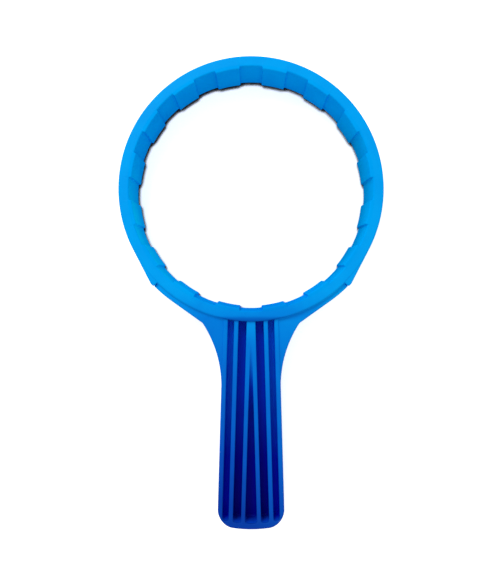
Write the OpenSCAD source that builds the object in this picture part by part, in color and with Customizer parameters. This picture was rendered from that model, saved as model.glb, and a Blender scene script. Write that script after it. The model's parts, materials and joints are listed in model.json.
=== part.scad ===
// Filter housing wrench: a toothed ring with a ribbed handle, moulded as one piece.
// The ring lies flat on z = 0 with its axis on Z, and the handle runs along -Y.

/* [Ring] */
// Diameter across the gripping pads
pad_d = 120; // [90:0.5:150]
// Height of the pads above the wall between them
pad_h = 1.2; // [0.6:0.1:3]
// Width of a pad along the bore
pad_w = 12; // [6:0.5:14]
// Number of pads
pad_count = 16; // [8:2:18]
// Thickness of the wall between the pads
ring_wall = 5.4; // [4:0.1:8]
// Height of the ring
ring_h = 21; // [18:0.5:30]
// Rounding of the ring's outer edges
edge_r = 1; // [0.5:0.1:1.6]
// Chamfer of the edges at the bore
bore_chamfer = 0.5; // [0.2:0.1:0.8]

/* [Shoulder] */
// How far the shoulder stands out from the ring
shoulder_w = 2.7; // [2:0.1:5]
// Angle from the handle to each end of the shoulder
shoulder_angle = 45; // [40:0.5:55]
// Angle from the handle at which the shoulder's round edge becomes straight
straight_angle = 35.5; // [30:0.5:39]
// Depth of the shoulder below each face of the ring
shoulder_drop = 2.2; // [1.9:0.1:3.4]
// Angle that the pointed ear at each end of the shoulder takes up
ear_angle = 1.6; // [0.8:0.1:3]
// Depth of the ear below each face of the ring
ear_drop = 0.4; // [0.2:0.05:0.45]

/* [Handle] */
// Length of the handle outside the ring
grip_len = 105; // [85:0.5:160]
// Width of the handle at the ring
neck_w = 28.2; // [27:0.1:34]
// Width of the handle at its end
tip_w = 34.2; // [31:0.1:42]
// Depth of the handle below each face of the ring
handle_drop = 1.5; // [1:0.1:1.8]
// Radius of the hollow curve from the shoulder into the handle
neck_r = 58; // [45:1:70]
// Distance from the ring at which that curve meets the handle
neck_run = 34.5; // [30:0.5:42]
// Radius of the two corners at the handle's end
tip_corner_r = 7.5; // [5:0.5:10]
// Radius of the curved end between the corners
tip_arc_r = 65; // [35:1:90]

/* [Ribs] */
// Thickness of the handle's side walls
side_wall = 2.4; // [1.5:0.1:2.6]
// Width of the outer channels
outer_channel_w = 3.2; // [2.5:0.1:3.5]
// Thickness of the ribs between the outer and inner channels
rib_w = 2.2; // [1.5:0.1:2.4]
// Width of the inner channels
inner_channel_w = 4.1; // [3.2:0.1:4.3]
// Thickness of the ribs beside the middle channel
middle_rib_w = 2.1; // [1.2:0.1:2.2]
// Thickness of the wall at the end of the channels
end_wall = 3; // [2:0.1:4]
// Thickness of the web between the two faces' channels
web_t = 2; // [1.5:0.1:4]
// Slope of the channel sides for release from the mould
draft = 1; // [0.5:0.1:1.5]
// Radius of the rising floor of the middle channel near the ring
ramp_r = 110; // [80:1:160]
// Distance from the ring at which the middle channel begins
ramp_start = 5; // [3:0.5:12]

/* [Hidden] */
$fn = 128;

pad_r = pad_d / 2;
bore_r = pad_r + pad_h;
ring_r = bore_r + ring_wall;
mid_wall_r = bore_r + ring_wall / 2;
shoulder_r = ring_r + shoulder_w;
// The straight edges lie a little inside the shoulder's circle, so that they cross it
straight_r = shoulder_r * cos(3);
pad_angle = 2 * asin(pad_w / 2 / pad_r);
pad_pitch = 360 / pad_count;

// The straight back of an ear leaves the ring as a tangent and ends at the ear's point
ear_point_angle = shoulder_angle + ear_angle;
ear_tangent_angle = ear_point_angle + acos(ring_r / shoulder_r);

reach = ring_r + grip_len;
taper = atan((tip_w - neck_w) / 2 / grip_len);
handle_top = ring_h - handle_drop;
channel_depth = (ring_h - 2 * handle_drop - web_t) / 2;
// Allowance by which cutting shapes pass the faces that they cut
over = 1;

// Half width of the handle at a distance from the ring's centre
function half_width(t) = neck_w / 2 + (t - ring_r) * tan(taper);

// Point at a radius, at an angle from the handle's direction
function from_handle(r, angle) = [r * sin(angle), -r * cos(angle)];

module both_sides() {
    children();
    mirror([1, 0, 0]) children();
}

module both_faces() {
    children();
    translate([0, 0, ring_h]) mirror([0, 0, 1]) children();
}

// Section of the ring, with round outer edges and chamfered edges at the bore
module ring_section() {
    polygon([
        [bore_r + bore_chamfer, 0],
        [ring_r - edge_r, 0],
        [ring_r - edge_r, ring_h],
        [bore_r + bore_chamfer, ring_h],
        [bore_r, ring_h - bore_chamfer],
        [bore_r, bore_chamfer]
    ]);
    translate([mid_wall_r, edge_r]) square([ring_wall / 2, ring_h - 2 * edge_r]);
    for (z = [edge_r, ring_h - edge_r]) translate([ring_r - edge_r, z]) circle(edge_r);
}

// Section of a pad, from its gripping face into the ring's wall
module pad_section() {
    polygon([
        [pad_r + bore_chamfer, 0],
        [mid_wall_r, 0],
        [mid_wall_r, ring_h],
        [pad_r + bore_chamfer, ring_h],
        [pad_r, ring_h - bore_chamfer],
        [pad_r, bore_chamfer]
    ]);
}

// Ring with its pads, a gap between two pads facing the handle
module toothed_ring() {
    rotate_extrude() ring_section();
    for (i = [0 : pad_count - 1]) {
        rotate((i + 0.5) * pad_pitch - 90 - pad_angle / 2) rotate_extrude(angle = pad_angle) pad_section();
    }
}

// Wedge from the ring's tangent out to the point at one end of the shoulder
module ear() {
    translate([0, 0, ear_drop]) linear_extrude(ring_h - 2 * ear_drop) polygon([
        from_handle(mid_wall_r, shoulder_angle),
        from_handle(shoulder_r, shoulder_angle),
        from_handle(shoulder_r, ear_point_angle),
        from_handle(ring_r, ear_tangent_angle),
        from_handle(mid_wall_r, ear_tangent_angle)
    ]);
}

// Band round the ring between the two ears, with straight edges that run on to the handle
module shoulder_plan() {
    intersection() {
        circle(shoulder_r);
        polygon([
            [0, 0],
            from_handle(2 * shoulder_r, -shoulder_angle),
            from_handle(2 * shoulder_r, shoulder_angle)
        ]);
    }
    polygon([
        [0, 0],
        from_handle(straight_r, -straight_angle),
        [0, -straight_r / cos(straight_angle)],
        from_handle(straight_r, straight_angle)
    ]);
}

// Hollow curve on one side: a block beside the handle, less a circle that touches the handle's side
module neck_flare_plan() {
    touch_t = ring_r + neck_run;
    touch_x = half_width(touch_t);
    centre = [touch_x + neck_r * cos(taper), -touch_t + neck_r * sin(taper)];
    difference() {
        polygon([
            [0, -touch_t],
            [touch_x, -touch_t],
            [centre.x, -ring_r * cos(shoulder_angle)],
            [0, -ring_r * cos(shoulder_angle)]
        ]);
        translate(centre) circle(neck_r);
    }
}

// Plan of the handle, drawn in from its sides and end by an inset
module handle_plan(inset = 0) {
    arc_r = tip_arc_r - inset;
    corner_r = tip_corner_r - inset;
    arc_centre = [0, -reach + tip_arc_r];
    // Foot of the side line that the corner's centre lies on, and the line's direction
    foot = [half_width(0) - tip_corner_r / cos(taper), 0];
    along = [sin(taper), -cos(taper)];
    from_arc = foot - arc_centre;
    lean = from_arc * along;
    run = -lean + sqrt(lean * lean - from_arc * from_arc + (arc_r - corner_r) * (arc_r - corner_r));
    corner = foot + run * along;
    outward = [cos(taper), sin(taper)];
    side_touch = corner + corner_r * outward;
    // The line from the arc's centre through the corner's centre parts the corner from the arc
    beyond = arc_centre + (corner - arc_centre) * (arc_r + 5 * over) / (arc_r - corner_r);
    top = foot + corner_r * outward;
    polygon([
        [-top.x, top.y], [-side_touch.x, side_touch.y], [-corner.x, corner.y],
        corner, side_touch, top
    ]);
    both_sides() translate(corner) circle(corner_r);
    intersection() {
        translate(arc_centre) circle(arc_r);
        polygon([[-corner.x, corner.y], [-beyond.x, beyond.y], beyond, corner]);
    }
}

// Block whose side face leans by the draft, along a line from the ring to the handle's end.
// The line lies at half_neck from the middle at the ring, on the handle's face,
// and the block lies towards the middle of the handle.
module inside_of(half_neck, slope) {
    size = 2 * reach;
    translate([half_neck, -ring_r, handle_top])
        rotate([0, 0, slope])
            rotate([0, draft, 0])
                translate([-size, -size / 2, -size / 2]) cube(size);
}

// The same for a line that bounds a channel on the side nearer the middle
module outside_of(half_neck, slope) {
    size = 2 * reach;
    translate([half_neck, -ring_r, handle_top])
        rotate([0, 0, slope])
            rotate([0, -draft, 0])
                translate([0, -size / 2, -size / 2]) cube(size);
}

// Room for a channel in one face, closed by the wall at the handle's end
module channel_room() {
    translate([0, 0, handle_top - channel_depth]) linear_extrude(channel_depth + over) handle_plan(end_wall);
}

// Channel between two ribs, beside the middle of the handle
module side_channel(half_neck, width) {
    intersection() {
        channel_room();
        inside_of(half_neck, taper);
        outside_of(half_neck - width, taper);
    }
}

// Channel between the two middle ribs, with a floor that rises to the handle's face near the ring
module middle_channel(half_neck) {
    start = ring_r + ramp_start;
    lift = 0.2;
    difference() {
        intersection() {
            channel_room();
            inside_of(half_neck, taper);
            mirror([1, 0, 0]) inside_of(half_neck, taper);
            translate([-reach / 2, -2 * reach, 0]) cube([reach, 2 * reach - start, 2 * ring_h]);
        }
        translate([0, -start, handle_top + lift - ramp_r])
            rotate([0, 90, 0]) cylinder(h = neck_w, r = ramp_r, center = true);
    }
}

// Five channels in the upper face of the handle
module channels() {
    outer_half = neck_w / 2 - side_wall;
    inner_half = outer_half - outer_channel_w - rib_w;
    middle_half = inner_half - inner_channel_w - middle_rib_w;
    both_sides() side_channel(outer_half, outer_channel_w);
    both_sides() side_channel(inner_half, inner_channel_w);
    middle_channel(middle_half);
}

// Handle and shoulder, ribbed on both faces, with the ring's place left out
module grip() {
    difference() {
        union() {
            translate([0, 0, handle_drop]) linear_extrude(ring_h - 2 * handle_drop) handle_plan();
            translate([0, 0, shoulder_drop]) linear_extrude(ring_h - 2 * shoulder_drop) {
                shoulder_plan();
                both_sides() neck_flare_plan();
            }
        }
        both_faces() channels();
        translate([0, 0, -over]) cylinder(h = ring_h + 2 * over, r = mid_wall_r);
    }
}

module wrench() {
    color("dodgerblue") union() {
        toothed_ring();
        both_sides() ear();
        grip();
    }
}

wrench();
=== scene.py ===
"""Filter housing wrench: its moulded body and plastic, a white floor and the photograph's view from above."""

import json
import math

import bmesh
import bpy
import numpy as np
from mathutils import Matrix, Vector


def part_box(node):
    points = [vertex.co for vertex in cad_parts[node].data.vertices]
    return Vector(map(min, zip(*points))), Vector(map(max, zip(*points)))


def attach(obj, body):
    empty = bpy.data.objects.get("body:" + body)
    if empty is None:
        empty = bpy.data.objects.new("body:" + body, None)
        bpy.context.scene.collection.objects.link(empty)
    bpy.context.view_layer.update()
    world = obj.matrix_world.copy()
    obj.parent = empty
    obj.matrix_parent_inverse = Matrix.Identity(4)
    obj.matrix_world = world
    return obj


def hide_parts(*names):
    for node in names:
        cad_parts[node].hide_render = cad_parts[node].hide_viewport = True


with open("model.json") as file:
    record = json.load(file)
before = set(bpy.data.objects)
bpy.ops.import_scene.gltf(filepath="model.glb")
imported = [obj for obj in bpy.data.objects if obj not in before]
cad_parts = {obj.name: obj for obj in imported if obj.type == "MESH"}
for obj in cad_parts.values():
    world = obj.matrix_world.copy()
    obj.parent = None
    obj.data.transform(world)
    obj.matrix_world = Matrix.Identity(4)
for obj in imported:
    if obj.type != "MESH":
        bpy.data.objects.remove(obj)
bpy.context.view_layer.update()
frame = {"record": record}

# Sizes of the moulding, in metres: those of the frame, then those of its details
MM = 0.001
low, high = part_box("wrench")
jaw = next(mount for mount in frame["record"]["mounts"] if mount["name"] == "jaw_ring")
RING_R = high.x
RING_H = high.z
REACH = -low.y
PAD_R = jaw["dims"]["r_mm"] * MM

PAD_COUNT = 16
PAD_W = 12 * MM
PAD_H = 1.2 * MM
PAD_FLANK = 0.2 * MM
PAD_ROUND = 0.4 * MM
BORE_R = PAD_R + PAD_H
MID_WALL_R = (BORE_R + RING_R) / 2
RING_EDGE = 1.0 * MM
BORE_EDGE = 0.7 * MM

SHOULDER_R = RING_R + 2.7 * MM
SHOULDER_ANGLE = math.radians(45)
STRAIGHT_ANGLE = math.radians(35.5)
EAR_POINT_ANGLE = math.radians(46.6)
SHOULDER_DROP = 2.2 * MM
SHOULDER_EDGE = 0.8 * MM
COVE_R = 0.9 * MM
COVE_ROOT = 0.3 * MM
EAR_DROP = 0.3 * MM
EAR_EDGE = 0.6 * MM
EAR_POINT_ROUND = 0.8 * MM
EAR_HEEL_ROUND = 0.7 * MM

NECK_HALF = 14.1 * MM
TIP_HALF = 17.1 * MM
TAPER = (TIP_HALF - NECK_HALF) / (REACH - RING_R)
HANDLE_DROP = 1.5 * MM
HANDLE_TOP = RING_H - HANDLE_DROP
HANDLE_EDGE = 0.9 * MM
TIP_CORNER_R = 7.5 * MM
TIP_ARC_R = 65 * MM
NECK_R = 58 * MM
NECK_END = RING_R + 34.5 * MM

SIDE_WALL = 2.4 * MM
OUTER_CHANNEL = 3.2 * MM
RIB = 2.2 * MM
INNER_CHANNEL = 4.1 * MM
MIDDLE_RIB = 2.1 * MM
END_WALL = 3 * MM
WEB = 2 * MM
CHANNEL_DEPTH = (RING_H - 2 * HANDLE_DROP - WEB) / 2
DRAFT = math.tan(math.radians(1))
RIB_EDGE = 0.55 * MM
FLOOR_FILLET = 0.8 * MM
CHANNEL_CORNER = 1.5 * MM
RAMP_R = 110 * MM
RAMP_START = RING_R + 5 * MM
RAMP_LIFT = 0.2 * MM
# Where the shapes that join the ring begin, inside its wall
HANDLE_START = 0.95 * MID_WALL_R
CHANNEL_START = 0.94 * MID_WALL_R
SHOULDER_START = 0.7 * MID_WALL_R
# How far a cutting shape passes the face that it cuts
OVER = 0.05 * MM
# Least radius of a corner, and how far an edge that should lie on a face is sunk in it
TINY = 0.02 * MM
# Points closer than this are one, and edges that turn by more than this angle stay sharp
MERGE_DISTANCE = 2e-7
SHARP_ANGLE = math.radians(32)


def turned(radius, angle):
    """Plan point (x, t) at a radius and an angle from the handle, where t runs down the handle."""
    return np.stack([radius * np.sin(angle), radius * np.cos(angle)], axis=-1)


def rounded(points, radii, steps=5):
    """Path through points whose corners become arcs: each corner's circle touches both of its legs.

    The arc is swept about its centre from one touching point to the other in equal angles.
    A radius of 0 keeps the corner.
    """
    points = np.asarray(points, float)
    pieces = []
    for before, corner, after, radius in zip(np.roll(points, 1, 0), points, np.roll(points, -1, 0), radii):
        if radius == 0:
            pieces.append(corner[None])
            continue
        a = (before - corner) / np.linalg.norm(before - corner)
        b = (after - corner) / np.linalg.norm(after - corner)
        half = math.acos(np.clip(a @ b, -1, 1)) / 2
        centre = corner + (a + b) / np.linalg.norm(a + b) * radius / math.sin(half)
        start = corner + a * radius / math.tan(half) - centre
        side = a[0] * b[1] - a[1] * b[0]
        turn = np.sign(side) * np.linspace(0, math.pi - 2 * half, steps + 1)
        spin = np.array([[np.cos(turn), np.sin(turn)], [-np.sin(turn), np.cos(turn)]])
        pieces.append(centre + np.einsum("ijk,j->ki", spin, start))
    return np.concatenate(pieces)


def mesh_object(name, points, faces, materials, slot=0):
    """Object from arrays: points (n, 3), and faces as rows of vertex numbers or longer lists for end caps."""
    mesh = bpy.data.meshes.new(name)
    mesh.from_pydata(np.asarray(points, float).reshape(-1, 3), [], faces)
    for material in materials:
        mesh.materials.append(material)
    mesh.polygons.foreach_set("material_index", np.full(len(mesh.polygons), slot, np.int32))
    mesh.update()
    made = bpy.data.objects.new(name, mesh)
    bpy.context.collection.objects.link(made)
    return made


def band(rows, columns, wrap_rows=False):
    """Quads of a grid of rows by columns whose columns close on themselves, as rows of vertex numbers."""
    number = np.arange(rows * columns).reshape(rows, columns)
    below = np.roll(number, -1, 0)
    quads = np.stack([number, below, np.roll(below, -1, 1), np.roll(number, -1, 1)], -1)
    return (quads if wrap_rows else quads[:-1]).reshape(-1, 4)


def capped(rows, columns):
    """Faces of a grid of closed rows, with its first and last rows filled."""
    first = list(range(columns))
    last = list(range((rows - 1) * columns, rows * columns))
    return [*band(rows, columns).tolist(), first, last[::-1]]


def in_space(plan, height):
    """Points (x, y, z) from plan points (x, t) and heights. The handle runs along -Y, so y is minus t."""
    x, t = plan[..., 0], plan[..., 1]
    return np.stack([x, -t, np.broadcast_to(height, x.shape)], axis=-1)


def outward(loop):
    """Mitre direction at each point of a closed loop: moving by d along it moves both of its edges by d."""
    ahead = np.roll(loop, -1, 0) - loop
    ahead /= np.linalg.norm(ahead, axis=1, keepdims=True)
    normal = np.stack([ahead[:, 1], -ahead[:, 0]], axis=-1)
    before = np.roll(normal, 1, 0)
    return (normal + before) / (1 + np.sum(normal * before, axis=1, keepdims=True))


def plate(name, loop, bottom, top, edge):
    """Plate with rounded edges: a closed plan loop carried up a profile of (inset, height) pairs.

    The profile is a quarter circle at the lower edge, a straight wall and a quarter circle at the upper edge,
    and the loop is drawn in by the inset along its mitre directions.
    """
    quarter = np.linspace(0, math.pi / 2, 6)
    inset = edge * np.concatenate([1 - np.sin(quarter), 1 - np.cos(quarter)])
    height = np.concatenate([bottom + edge * (1 - np.cos(quarter)), top - edge * (1 - np.sin(quarter))])
    rings = loop[None] - inset[:, None, None] * outward(loop)[None]
    points = in_space(rings, height[:, None])
    return mesh_object(name, points, capped(*points.shape[:2]), PLASTICS)


def toothed_ring():
    """Ring as a section carried round the axis.

    The section is a rectangle with rounded corners. Round the axis its bore side follows the tooth path:
    the pad's radius over the pad, the bore's radius between pads, and a rounded step from one to the other.
    """
    pitch = 2 * math.pi * PAD_R / PAD_COUNT
    step = [(-pitch / 2, BORE_R), (-PAD_W / 2 - PAD_FLANK, BORE_R), (-PAD_W / 2, PAD_R), (0, PAD_R)]
    half = rounded(step, (0, PAD_ROUND, PAD_ROUND, 0), steps=4)
    runs = [np.linspace(half[0], half[1], 9)[:-1], half[1:-1], np.linspace(half[-2], half[-1], 10)[1:]]
    rise = np.concatenate(runs)
    tooth = np.concatenate([rise, rise[-2:0:-1] * (-1, 1)])
    along = (tooth[:, 0][None] + pitch * (np.arange(PAD_COUNT)[:, None] + 0.5)).ravel()
    angle = -along / PAD_R
    inner = np.tile(tooth[:, 1], PAD_COUNT)

    corners = [(BORE_R, 0), (RING_R, 0), (RING_R, RING_H), (BORE_R, RING_H)]
    section = rounded(corners, (BORE_EDGE, RING_EDGE, RING_EDGE, BORE_EDGE), steps=6)
    follows = section[:, 0] < MID_WALL_R
    radius = section[:, 0][:, None] + follows[:, None] * (inner - BORE_R)[None]
    points = in_space(turned(radius, angle[None]), section[:, 1][:, None])
    return mesh_object("ring_blank", points, band(*points.shape[:2], wrap_rows=True), PLASTICS)


def ear(side):
    """Wedge at one end of the shoulder: its back leaves the ring as a tangent and ends at a point."""
    tangent = EAR_POINT_ANGLE + math.acos(RING_R / SHOULDER_R)
    corners = np.array([
        turned(MID_WALL_R, SHOULDER_ANGLE),
        turned(MID_WALL_R, tangent),
        turned(RING_R - TINY, tangent),
        turned(SHOULDER_R, EAR_POINT_ANGLE),
        turned(SHOULDER_R, SHOULDER_ANGLE),
    ])
    loop = rounded(corners, (0, 0, 0, EAR_POINT_ROUND, EAR_HEEL_ROUND), steps=5)
    if side < 0:
        loop = (loop * (-1, 1))[::-1]
    return plate("ear_blank", loop, EAR_DROP, RING_H - EAR_DROP, EAR_EDGE)


def cove(face):
    """Hollow fillet between the ring's wall and the shoulder: a section carried round an arc.

    The section's hollow side is a quarter circle, and its root lies in the ring and the shoulder.
    """
    level = RING_H - SHOULDER_DROP
    inner = RING_R - COVE_ROOT
    sweep = np.linspace(0, math.pi / 2, 8)
    hollow = np.stack([RING_R + COVE_R * (1 - np.sin(sweep)), level + COVE_R * (1 - np.cos(sweep))], -1)
    back = [(inner, level + COVE_R), (inner, level - COVE_ROOT), (RING_R + COVE_R, level - COVE_ROOT)]
    section = np.concatenate([hollow, back])
    angle = np.linspace(-SHOULDER_ANGLE, SHOULDER_ANGLE, 97)
    height = section[:, 1] if face > 0 else RING_H - section[:, 1]
    points = in_space(turned(section[:, 0][None], angle[:, None]), height[None])
    faces = capped(*points.shape[:2])
    return mesh_object("cove_blank", points, faces if face > 0 else [row[::-1] for row in faces], PLASTICS)


def handle_half(t):
    """Half width of the handle at a distance t from the ring's axis."""
    return NECK_HALF + TAPER * (t - RING_R)


def tip_line(x, inset=0.0):
    """Distance from the ring's axis of the handle's curved end, drawn in by an inset."""
    return REACH - TIP_ARC_R + np.sqrt((TIP_ARC_R - inset) ** 2 - x ** 2)


def both_edges(right):
    """Closed loop from its right edge, which starts at the ring and ends on the middle line."""
    return np.concatenate([right, (right * (-1, 1))[-2::-1]])


def handle_blank():
    """Handle without channels: sides that part evenly, two round corners and a curved end.

    At a corner, the inset from the side and from the end goes with one minus the cosine and one minus
    the sine of an angle that turns through a quarter circle.
    """
    side_t = np.linspace(HANDLE_START, tip_line(TIP_HALF) - TIP_CORNER_R, 40)
    corner = np.linspace(0, math.pi / 2, 17)[1:]
    corner_x = handle_half(side_t[-1]) - TIP_CORNER_R * (1 - np.cos(corner))
    corner_t = tip_line(corner_x) - TIP_CORNER_R * (1 - np.sin(corner))
    end_x = np.linspace(corner_x[-1], 0, 17)[1:]
    right = np.concatenate([
        np.stack([handle_half(side_t), side_t], -1),
        np.stack([corner_x, corner_t], -1),
        np.stack([end_x, tip_line(end_x)], -1),
    ])
    return plate("handle_blank", both_edges(right), HANDLE_DROP, HANDLE_TOP, HANDLE_EDGE)


def shoulder_blank():
    """Shoulder and neck: the half width at each t is the shoulder's circle, then its straight tangent.

    It is never less than the hollow neck curve, which touches the handle's side, and never more than the
    line that ends the shoulder.
    """
    lean = math.atan(TAPER)
    touch = np.array([handle_half(NECK_END), NECK_END])
    centre = touch + NECK_R * np.array([math.cos(lean), -math.sin(lean)])
    # A few places inside the ring, then many along the edge that shows
    hidden = np.linspace(SHOULDER_START, 0.69 * SHOULDER_R, 4)
    t = np.concatenate([hidden, np.linspace(0.7 * SHOULDER_R, NECK_END, 120)])
    end_line = t * math.tan(SHOULDER_ANGLE)
    circle = np.sqrt(np.maximum(SHOULDER_R ** 2 - t ** 2, 0))
    tangent = (SHOULDER_R - t * math.cos(STRAIGHT_ANGLE)) / math.sin(STRAIGHT_ANGLE)
    edge = np.where(t < SHOULDER_R * math.cos(STRAIGHT_ANGLE), circle, tangent)
    hollow = centre[0] - np.sqrt(NECK_R ** 2 - (t - centre[1]) ** 2)
    half = np.minimum(end_line, np.maximum(edge, hollow))
    right = np.concatenate([np.stack([half, t], -1), [(0, NECK_END)]])
    return plate("shoulder_blank", both_edges(right), SHOULDER_DROP, RING_H - SHOULDER_DROP, SHOULDER_EDGE)


def channel_walls():
    """Wall of a channel as (inset, drop) pairs: a rounded rib edge, a sloping side and a floor fillet.

    The edge and the fillet are quarter circles, and the slope between them is the draft. A lip above the
    edge passes the handle's face.
    """
    quarter = np.linspace(0, math.pi / 2, 5)
    edge = np.stack([-RIB_EDGE * (1 - np.sin(quarter)), RIB_EDGE * (1 - np.cos(quarter))], -1)
    run = DRAFT * (CHANNEL_DEPTH - RIB_EDGE - FLOOR_FILLET)
    drop = CHANNEL_DEPTH - FLOOR_FILLET * (1 - np.sin(quarter))
    fillet = np.stack([run + FLOOR_FILLET * (1 - np.cos(quarter)), drop], -1)
    lip = np.array([[-RIB_EDGE - 4 * OVER, -OVER]])
    return np.concatenate([lip, edge, fillet])


def channel(name, start, middle, half, floor, face):
    """Cutting shape of one channel: its wall carried along its outline, closed above and at the floor.

    At each inset the outline is straight sides, a round corner and the end wall's curve. Pairs of points
    on the two sides share a place along the channel. middle, half and floor give its centre line, half
    width and depth. Where the floor rises, the wall's insets and drops shrink with the depth.
    """
    inset, drop = (column[:, None] for column in channel_walls().T)
    corner_r = np.maximum(CHANNEL_CORNER - inset, TINY)
    bend = np.linspace(0, math.pi / 2, 7)[None, 1:]
    end_t = tip_line(middle(REACH), END_WALL)
    straight_t = np.linspace(start, end_t - CHANNEL_CORNER - 2 * RIB_EDGE, 64)[None] + 0 * inset
    tip_half = half(end_t) - inset
    corner_h = tip_half - corner_r * (1 - np.cos(bend))
    close = np.linspace(1, 0, 5)[None, 1:]
    end_h = corner_h[:, -1:] * close
    share = (floor(straight_t) + OVER) / (CHANNEL_DEPTH + OVER)
    width = np.concatenate([half(straight_t) - inset * share, corner_h, end_h], axis=1)

    def edge(side):
        """Points of one side: a row for each inset of the wall, at the height that goes with its drop."""
        corner_x = middle(end_t) + side * corner_h
        end_x = middle(end_t) + side * end_h
        corner_t = tip_line(corner_x, END_WALL) - inset - corner_r * (1 - np.sin(bend))
        t = np.concatenate([straight_t, corner_t, tip_line(end_x, END_WALL) - inset], axis=1)
        x = middle(t) + side * width
        height = HANDLE_TOP + OVER - (drop + OVER) * (floor(t) + OVER) / (CHANNEL_DEPTH + OVER)
        return in_space(np.stack([x, t], -1), height if face > 0 else RING_H - height)

    across = np.concatenate([edge(1), edge(-1)[::-1]])
    rows, columns = across.shape[:2]
    number = np.arange(rows * columns).reshape(rows, columns)
    below = np.roll(number, -1, axis=0)
    faces = np.stack([number[:, :-1], below[:, :-1], below[:, 1:], number[:, 1:]], -1).reshape(-1, 4).tolist()
    faces.append(number[::-1, 0].tolist())
    faces = [row if face < 0 else row[::-1] for row in faces]
    made = mesh_object(name, across, faces, PLASTICS, slot=1)
    merge_close(made.data)
    return made


def channels():
    """Five channels in each face: an outer and an inner one on each side, and a middle one."""
    outer = SIDE_WALL + OUTER_CHANNEL / 2
    inner = SIDE_WALL + OUTER_CHANNEL + RIB + INNER_CHANNEL / 2
    middle = inner + INNER_CHANNEL / 2 + MIDDLE_RIB

    def even(size):
        """The same size all along a channel."""
        return lambda t: size + 0 * t

    def from_side(side, offset):
        """Line that keeps its distance from one side of the handle."""
        return lambda t: side * (handle_half(t) - offset)

    def rising(t):
        """Depth of a circle that sinks from the ramp's start, down to the channels' full depth.

        The run along it stays short of the circle's side.
        """
        run = np.clip(t - RAMP_START, 0, 0.9 * RAMP_R)
        return np.minimum(RAMP_R - np.sqrt(RAMP_R ** 2 - run ** 2) - RAMP_LIFT, CHANNEL_DEPTH)

    on_face = RAMP_START + math.sqrt(2 * RAMP_R * (RAMP_LIFT - OVER / 2))
    made = []
    for face in (1, -1):
        for offset, width in ((outer, OUTER_CHANNEL), (inner, INNER_CHANNEL)):
            for side in (1, -1):
                line, half = from_side(side, offset), even(width / 2)
                made.append(channel("side_channel", CHANNEL_START, line, half, even(CHANNEL_DEPTH), face))
        wedge = from_side(1, middle)
        made.append(channel("middle_channel", on_face, even(0.0), wedge, rising, face))
    return made


def bore_core():
    """Cylinder to the middle of the ring's wall, which keeps the handle and shoulder out of the bore."""
    angle = np.linspace(0, 2 * math.pi, 257)[:-1]
    circle = turned(MID_WALL_R, -angle)
    points = np.stack([in_space(circle, -RING_H), in_space(circle, 2 * RING_H)])
    return mesh_object("bore_core", points, capped(*points.shape[:2]), PLASTICS)


def merge_close(mesh):
    """Joins points of a mesh that lie together."""
    work = bmesh.new()
    work.from_mesh(mesh)
    bmesh.ops.remove_doubles(work, verts=work.verts, dist=MERGE_DISTANCE)
    bmesh.ops.dissolve_degenerate(work, edges=work.edges, dist=MERGE_DISTANCE)
    work.to_mesh(mesh)
    work.free()


def combine(base, operation, others):
    """Adds the other solids to the base, or takes them from it, and removes them."""
    for other in others:
        cut = base.modifiers.new("combine", "BOOLEAN")
        cut.solver = "MANIFOLD"
        cut.operation = operation
        cut.object = other
        solid = bpy.data.meshes.new_from_object(base.evaluated_get(bpy.context.evaluated_depsgraph_get()))
        base.modifiers.clear()
        base.data = solid
        bpy.data.objects.remove(other)
    return base


def wrench_moulding():
    """The whole moulding: handle and shoulder, less the channels and the bore, with the ring and its ears."""
    body = combine(handle_blank(), "UNION", [shoulder_blank(), cove(1), cove(-1)])
    body = combine(body, "DIFFERENCE", [*channels(), bore_core()])
    body = combine(body, "UNION", [toothed_ring(), ear(1), ear(-1)])
    body.name = "wrench_moulding"
    merge_close(body.data)
    body.data.polygons.foreach_set("use_smooth", np.ones(len(body.data.polygons), bool))
    body.data.set_sharp_from_angle(angle=SHARP_ANGLE)
    normals = body.modifiers.new("even_shading", "WEIGHTED_NORMAL")
    normals.keep_sharp = True
    normals.weight = 100
    return body


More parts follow.
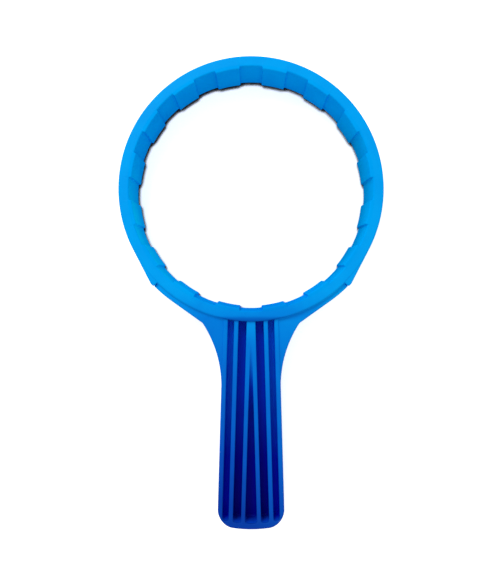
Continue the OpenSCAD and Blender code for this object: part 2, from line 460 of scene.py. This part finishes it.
class Value:
    """A number over a surface: wraps a node's socket, so that an expression on values adds Math nodes."""

    def __init__(self, tree, socket=None):
        self.tree = tree
        self.socket = socket

    def node(self, kind, settings=None, inputs=None, output=0):
        """Adds a node with its settings and its sockets' values or links, and gives one of its outputs."""
        made = self.tree.nodes.new(kind)
        for name, setting in (settings or {}).items():
            setattr(made, name, setting)
        for name, given in (inputs or {}).items():
            if isinstance(given, Value):
                self.tree.links.new(given.socket, made.inputs[name])
            else:
                made.inputs[name].default_value = given
        return Value(self.tree, made.outputs[output] if len(made.outputs) else None)

    def math(self, operation, *terms):
        """Adds a Math node."""
        return self.node("ShaderNodeMath", {"operation": operation}, dict(enumerate(terms)))

    def __add__(self, other):
        return self.math("ADD", self, other)

    def __radd__(self, other):
        return self.math("ADD", other, self)

    def __sub__(self, other):
        return self.math("SUBTRACT", self, other)

    def __rsub__(self, other):
        return self.math("SUBTRACT", other, self)

    def __mul__(self, other):
        return self.math("MULTIPLY", self, other)

    def __rmul__(self, other):
        return self.math("MULTIPLY", other, self)

    def __abs__(self):
        return self.math("ABSOLUTE", self)

    def ease(self, start, end, out_start=0.0, out_end=1.0):
        """Smooth step from out_start to out_end, while this value goes from start to end."""
        settings = {"interpolation_type": "SMOOTHSTEP"}
        inputs = {"Value": self, "From Min": start, "From Max": end, "To Min": out_start, "To Max": out_end}
        return self.node("ShaderNodeMapRange", settings, inputs, "Result")

    def ramp(self, stops):
        """Colour along this value, from stops given as distances along the wrench."""
        made = self.node("ShaderNodeValToRGB", inputs={"Fac": self})
        elements = made.socket.node.color_ramp.elements
        while len(elements) < len(stops):
            elements.new(1.0)
        for element, (distance, colour) in zip(elements, stops):
            element.position = distance / REACH
            element.color = colour
        return made

    def mix(self, first, second, blend="MIX"):
        """Colour between two colours, by this value.

        A Mix node's colour sockets are its inputs 6 and 7 and its output 2.
        """
        settings = {"data_type": "RGBA", "blend_type": blend}
        return self.node("ShaderNodeMix", settings, {0: self, 6: first, 7: second}, 2)

    def axes(self):
        """The three parts of a vector."""
        split = self.node("ShaderNodeSeparateXYZ", inputs={"Vector": self}).socket.node
        return [Value(self.tree, output) for output in split.outputs]

    def noise(self, scale, detail):
        """Noise from 0 to 1 at this place, with features of about one over the scale, in metres."""
        inputs = {"Vector": self, "Scale": scale, "Detail": detail}
        return self.node("ShaderNodeTexNoise", inputs=inputs, output="Fac")


# Colours of the plastic down the wrench, as (distance from the ring's axis, colour), with painted shade that
# darkens
# it: on its outside down the handle, and deep in its inner and middle channels and in its outer channels
FACE_PAINTED_SHADE = (
    (0.052, (0.000, 0.367, 0.915, 1)),
    (0.0625, (0.000, 0.255, 0.800, 1)),
    (0.067, (0.000, 0.225, 0.760, 1)),
    (0.106, (0.001, 0.155, 0.665, 1)),
    (0.138, (0.002, 0.100, 0.565, 1)),
    (0.168, (0.002, 0.050, 0.400, 1)),
)
INNER_PAINTED_SHADE = (
    (0.066, (0.000, 0.058, 0.690, 1)),
    (0.106, (0.000, 0.038, 0.650, 1)),
    (0.138, (0.000, 0.001, 0.440, 1)),
    (0.168, (0.000, 0.000, 0.310, 1)),
)
OUTER_PAINTED_SHADE = (
    (0.066, (0.000, 0.190, 0.920, 1)),
    (0.106, (0.000, 0.122, 0.790, 1)),
    (0.138, (0.000, 0.013, 0.660, 1)),
    (0.168, (0.000, 0.002, 0.640, 1)),
)
# Painted light on the middle ribs where they rise to the ring, painted shade on the ring's edge above the
# handle, and painted light on the channels' end walls
CROWN_PAINTED_LIGHT = (0.000, 0.310, 0.860, 1)
CREASE_PAINTED_SHADE = (0.000, 0.050, 0.420, 1)
END_WALL_PAINTED_LIGHT = (0.000, 0.075, 0.700, 1)
# Factors on the colour: in the mottling, and at the foot and top of the bore's right and left walls, which
# paint shade low on the right wall and light up the left one
MOTTLE = (1.000, 0.930, 0.970, 1)
RIGHT_PAINTED_SHADE = (1.000, 0.780, 0.680, 1), (1.000, 1.080, 0.960, 1)
LEFT_PAINTED_LIGHT = (1.000, 1.180, 1.020, 1), (1.000, 1.520, 1.090, 1)

# Ranges over which the plastic's colour and its painted light and shade change, as (start, end) and sometimes
# the results at both
LEAN_ACROSS = -17 * MM, 17 * MM, 1.0, -1.0
LEAN_AT_NECK = 63 * MM, 68 * MM, 0.0, 7 * MM
LEAN_DOWN_HANDLE = 68 * MM, 105 * MM, 0.0, 5 * MM
CROWN_ACROSS = 8 * MM, 3 * MM
CROWN_FADE = 80 * MM, 68 * MM
CROWN_START = 66.2 * MM, 67 * MM
CREASE_INSIDE = RING_R + 0.2 * MM, RING_R
CREASE_DOWN = 63.3 * MM, 65.5 * MM, 0.0, 0.6
INNER_TO_OUTER = 6.5 * MM, 8 * MM
CHANNEL_END = REACH - END_WALL - 3 * MM, REACH - END_WALL - 0.6 * MM
END_LIT = 0.2 * MM, 1.6 * MM
END_SLOWING = 0.55
CHANNEL_SHADE = 0.2 * MM, 4.2 * MM
BORE_WALL = BORE_R + 0.5 * MM, BORE_R
BELOW_FACE = RING_H, RING_H - 0.7 * MM
UP_BORE = 0.0, 20 * MM
BORE_RIGHT = (25 * MM, 56 * MM), (55 * MM, 25 * MM)
BORE_LEFT = (-25 * MM, -56 * MM), (25 * MM, -15 * MM)
MOTTLE_RANGE = 0.35, 0.65

# The plastic's waviness, grain and parting line, and its thin gloss, which the bore lacks
FLOW_SCALE, FLOW_DETAIL, FLOW_HEIGHT, FLOW_SHIFT = 90.0, 3.0, 0.09 * MM, 4 * MM
GRAIN_SCALE, GRAIN_DETAIL, GRAIN_HEIGHT = 2600.0, 2.0, 0.012 * MM
SEAM, SEAM_HEIGHT = (0.14 * MM, 0.04 * MM), 0.03 * MM
BUMP_STRENGTH = 0.5
GLOSS_OUTSIDE = BORE_R + 0.3 * MM, BORE_R + 1.2 * MM
GLOSS_LEAST, GLOSS_MORE, GLOSS_ROUGHNESS = 0.03, 0.04, 0.35


def new_material(name):
    """A material without nodes, and the value that starts them."""
    material = bpy.data.materials.new(name)
    material.use_nodes = True
    material.node_tree.nodes.clear()
    return material, Value(material.node_tree)


def face_colour_and_painted_shade(x, t, radius, along):
    """Colour on the outside: a ramp down the wrench that paints shade further down, with three departures
    from it.

    On the handle's left the ramp's colours are those of a place further down, and on its right those of a
    place further up: painted shade on the left and painted light on the right. The middle ribs have painted
    light where they rise to the ring, and the ring's edge above the handle has painted shade.
    """
    # Painted shade on the handle's left and painted light on its right, by reading the ramp further down or
    # up
    lean = x.ease(*LEAN_ACROSS) * (t.ease(*LEAN_AT_NECK) + t.ease(*LEAN_DOWN_HANDLE))
    colour = (along + lean * (1 / REACH)).ramp(FACE_PAINTED_SHADE)
    # Painted light: the middle ribs are lighter where they rise to the ring
    crown_light = abs(x).ease(*CROWN_ACROSS) * t.ease(*CROWN_FADE) * t.ease(*CROWN_START)
    # Painted shade: the ring's edge above the handle is darker
    crease_shade = radius.ease(*CREASE_INSIDE) * t.ease(*CREASE_DOWN)
    return crease_shade.mix(crown_light.mix(colour, CROWN_PAINTED_LIGHT), CREASE_PAINTED_SHADE)


def channel_painted_shade_and_light(x, t, z, along, face):
    """Colour in the channels: the face's at the ribs' edges, with painted shade that deepens with the depth
    below them.

    The inner and middle channels' painted shade is darker than the outer ones'. At the channels' ends the
    painted shade deepens more slowly, and the end walls get painted light.
    """
    # Painted shade in the channels, deepening with the depth below the ribs' edges
    depth = HANDLE_TOP - RING_H / 2 - abs(z - RING_H / 2)
    aside = abs(x) + TAPER * (RING_R - t)
    deep = aside.ease(*INNER_TO_OUTER).mix(along.ramp(INNER_PAINTED_SHADE), along.ramp(OUTER_PAINTED_SHADE))
    # Painted light on the channels' end walls, where the painted shade also deepens more slowly
    at_end = t.ease(*CHANNEL_END)
    lit = at_end * depth.ease(*END_LIT)
    shade = (depth * (1 - END_SLOWING * at_end)).ease(*CHANNEL_SHADE)
    return shade.mix(lit.mix(face, END_WALL_PAINTED_LIGHT), deep)


def bore_painted_light_and_shade(x, y, z, radius, face):
    """Ring colour: the face's, times tints changing up the bore's walls: painted shade on the right, light on
    the left.
    """
    # Painted shade low on the bore's right wall and painted light up its left wall
    wall = radius.ease(*BORE_WALL) * z.ease(*BELOW_FACE)
    for (across, down), (foot, top) in ((BORE_RIGHT, RIGHT_PAINTED_SHADE), (BORE_LEFT, LEFT_PAINTED_LIGHT)):
        part = wall * x.ease(*across) * y.ease(*down)
        face = part.mix(face, z.ease(*UP_BORE).mix(foot, top), "MULTIPLY")
    return face


def moulded_plastic(name, in_channel):
    """Blue moulded plastic with a thin gloss: azure at the ring, painted shade down the handle and in the
    channels.

    A slow waviness mottles the colour. It is in the bump too, with a fine grain and the parting line at half
    height.
    """
    material, start = new_material(name)
    place = start.node("ShaderNodeTexCoord", output="Object")
    x, y, z = place.axes()
    t = 0.0 - y
    radius = x.math("SQRT", x * x + y * y)
    flow = place.noise(FLOW_SCALE, FLOW_DETAIL)
    grain = place.noise(GRAIN_SCALE, GRAIN_DETAIL)

    along = (t + FLOW_SHIFT * (flow - 0.5)) * (1 / REACH)
    colour = face_colour_and_painted_shade(x, t, radius, along)
    if in_channel:
        colour = channel_painted_shade_and_light(x, t, z, along, colour)
    else:
        colour = bore_painted_light_and_shade(x, y, z, radius, colour)
    colour = flow.ease(*MOTTLE_RANGE).mix(colour, MOTTLE, "MULTIPLY")

    seam = abs(z - RING_H / 2).ease(*SEAM)
    height = GRAIN_HEIGHT * grain + FLOW_HEIGHT * flow + SEAM_HEIGHT * seam
    relief = {"Height": height, "Strength": BUMP_STRENGTH, "Distance": 1.0}
    surface = start.node("ShaderNodeBsdfPrincipled", inputs={
        "Base Color": colour,
        "Specular IOR Level": 0.0,
        "Normal": start.node("ShaderNodeBump", inputs=relief, output="Normal"),
        "Coat Weight": radius.ease(*GLOSS_OUTSIDE) * (GLOSS_LEAST + GLOSS_MORE * flow),
        "Coat Roughness": GLOSS_ROUGHNESS,
    })
    start.node("ShaderNodeOutputMaterial", inputs={"Surface": surface})
    return material


# The floor's size and paint, the glow that lifts it to white, and the painted shadow at the foot of what
# stands
# on it: the shadow's dark paint, how far it reaches, where it fades, and the direction towards the key light
FLOOR_RADII = 0.05, 0.3, 1.0, 3.0, 8.0
FLOOR_PAINT = (0.92, 0.92, 0.92, 1)
FLOOR_GLOW = 0.6
SHADOW_PAINT = (0.02, 0.02, 0.02, 1)
SHADOW_REACH = 2.4 * MM
SHADOW_FADE = 0.5, 0.88
TO_KEY = {"X": -0.31, "Y": 0.68, "Z": 0.66}


def white_paint():
    """Matt white of the floor, lifted to full white for the camera and for reflections, except at a painted
    shadow.

    Where something stands close by towards the key light, the white fades to a dark paint: a painted shadow
    at the part's foot.
    """
    material, start = new_material("white_floor")
    path = start.node("ShaderNodeLightPath").socket.node
    seen = Value(start.tree, path.outputs["Is Camera Ray"])
    for way in ("Is Glossy Ray", "Is Transmission Ray"):
        seen = seen.math("MAXIMUM", seen, Value(start.tree, path.outputs[way]))
    around = {"Distance": SHADOW_REACH, "Normal": start.node("ShaderNodeCombineXYZ", inputs=TO_KEY)}
    clear = start.node("ShaderNodeAmbientOcclusion", {"samples": 8}, around, "AO")
    paint = start.node("ShaderNodeBsdfDiffuse", inputs={"Color": FLOOR_PAINT})
    # Painted shadow: near-black paint at the foot of what stands on the floor
    foot = start.node("ShaderNodeBsdfDiffuse", inputs={"Color": SHADOW_PAINT})
    glow = start.node("ShaderNodeEmission", inputs={"Color": (1, 1, 1, 1), "Strength": FLOOR_GLOW})
    lifted = start.node("ShaderNodeAddShader", inputs={0: paint, 1: glow})
    shaded = start.node("ShaderNodeMixShader", inputs={0: clear.ease(*SHADOW_FADE), 1: foot, 2: lifted})
    shown = start.node("ShaderNodeMixShader", inputs={0: seen, 1: paint, 2: shaded})
    start.node("ShaderNodeOutputMaterial", inputs={"Surface": shown})
    return material


def white_floor():
    """Round floor: rings of points at growing radii about Z."""
    radius = np.array(FLOOR_RADII)
    angle = np.linspace(0, 2 * math.pi, 97)[:-1]
    points = in_space(turned(radius[:, None], angle[None]), 0.0)
    rows, columns = points.shape[:2]
    faces = [*band(rows, columns).tolist(), list(range(columns))]
    made = mesh_object("floor", points, faces, [white_paint()])


# The key light's place and aim, in metres, its size and power, and the strength of the room's light
KEY_PLACE = (-0.34, 0.56, 0.74)
KEY_AIM = (0, -0.02, 0)
KEY_SIZE = 0.4
KEY_WATTS = 4.0
ROOM_LIGHT = 0.7


def studio_light():
    """A soft square key from the upper left of the view, in a pale room.

    The key is low enough to stay out of the mirror direction.
    """
    lamp = bpy.data.lights.new("key", "AREA")
    lamp.size = KEY_SIZE
    lamp.energy = KEY_WATTS
    key = bpy.data.objects.new("key", lamp)
    key.location = KEY_PLACE
    key.rotation_euler = (key.location - Vector(KEY_AIM)).to_track_quat("Z", "Y").to_euler()
    bpy.context.collection.objects.link(key)

    world = bpy.data.worlds.new("room")
    world.use_nodes = True
    room = world.node_tree.nodes["Background"]
    room.inputs["Color"].default_value = (1, 1, 1, 1)
    room.inputs["Strength"].default_value = ROOM_LIGHT
    bpy.context.scene.world = world


# The photograph's frame, and what was measured in it: pixels, with the pixel size on the ring's upper face
IMAGE_W, IMAGE_H = 500, 580
RING_CENTRE_PX = (251.05, 188.5)
VANISHING_PX = (251.0, 272.0)
PIXEL = 0.5 * MM
CAMERA_CLEARANCE = 235 * MM
SENSOR = 36.0


def photo_camera():
    """Camera straight above the point where upright edges vanish; the frame's offset from it is the shift."""
    lens = bpy.data.cameras.new("photo_view")
    lens.sensor_width = SENSOR
    lens.lens = SENSOR * CAMERA_CLEARANCE / PIXEL / IMAGE_H
    lens.shift_x = (IMAGE_W / 2 - VANISHING_PX[0]) / IMAGE_H
    lens.shift_y = (VANISHING_PX[1] - IMAGE_H / 2) / IMAGE_H
    lens.clip_start = 0.01
    made = bpy.data.objects.new("photo_view", lens)
    across = (VANISHING_PX[0] - RING_CENTRE_PX[0]) * PIXEL
    down = (VANISHING_PX[1] - RING_CENTRE_PX[1]) * PIXEL
    made.location = (across, -down, RING_H + CAMERA_CLEARANCE)
    bpy.context.collection.objects.link(made)
    bpy.context.scene.camera = made


# The ribs' channels have their own painted shade and light on the plastic, so the moulding has two materials
PLASTICS = [
    moulded_plastic("blue_plastic", in_channel=False),
    moulded_plastic("channel_plastic_painted_shade_and_light", in_channel=True),
]
wrench = wrench_moulding()
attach(wrench, "root")
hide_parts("wrench")

white_floor()
studio_light()
photo_camera()
bpy.context.scene.view_settings.view_transform = "Standard"
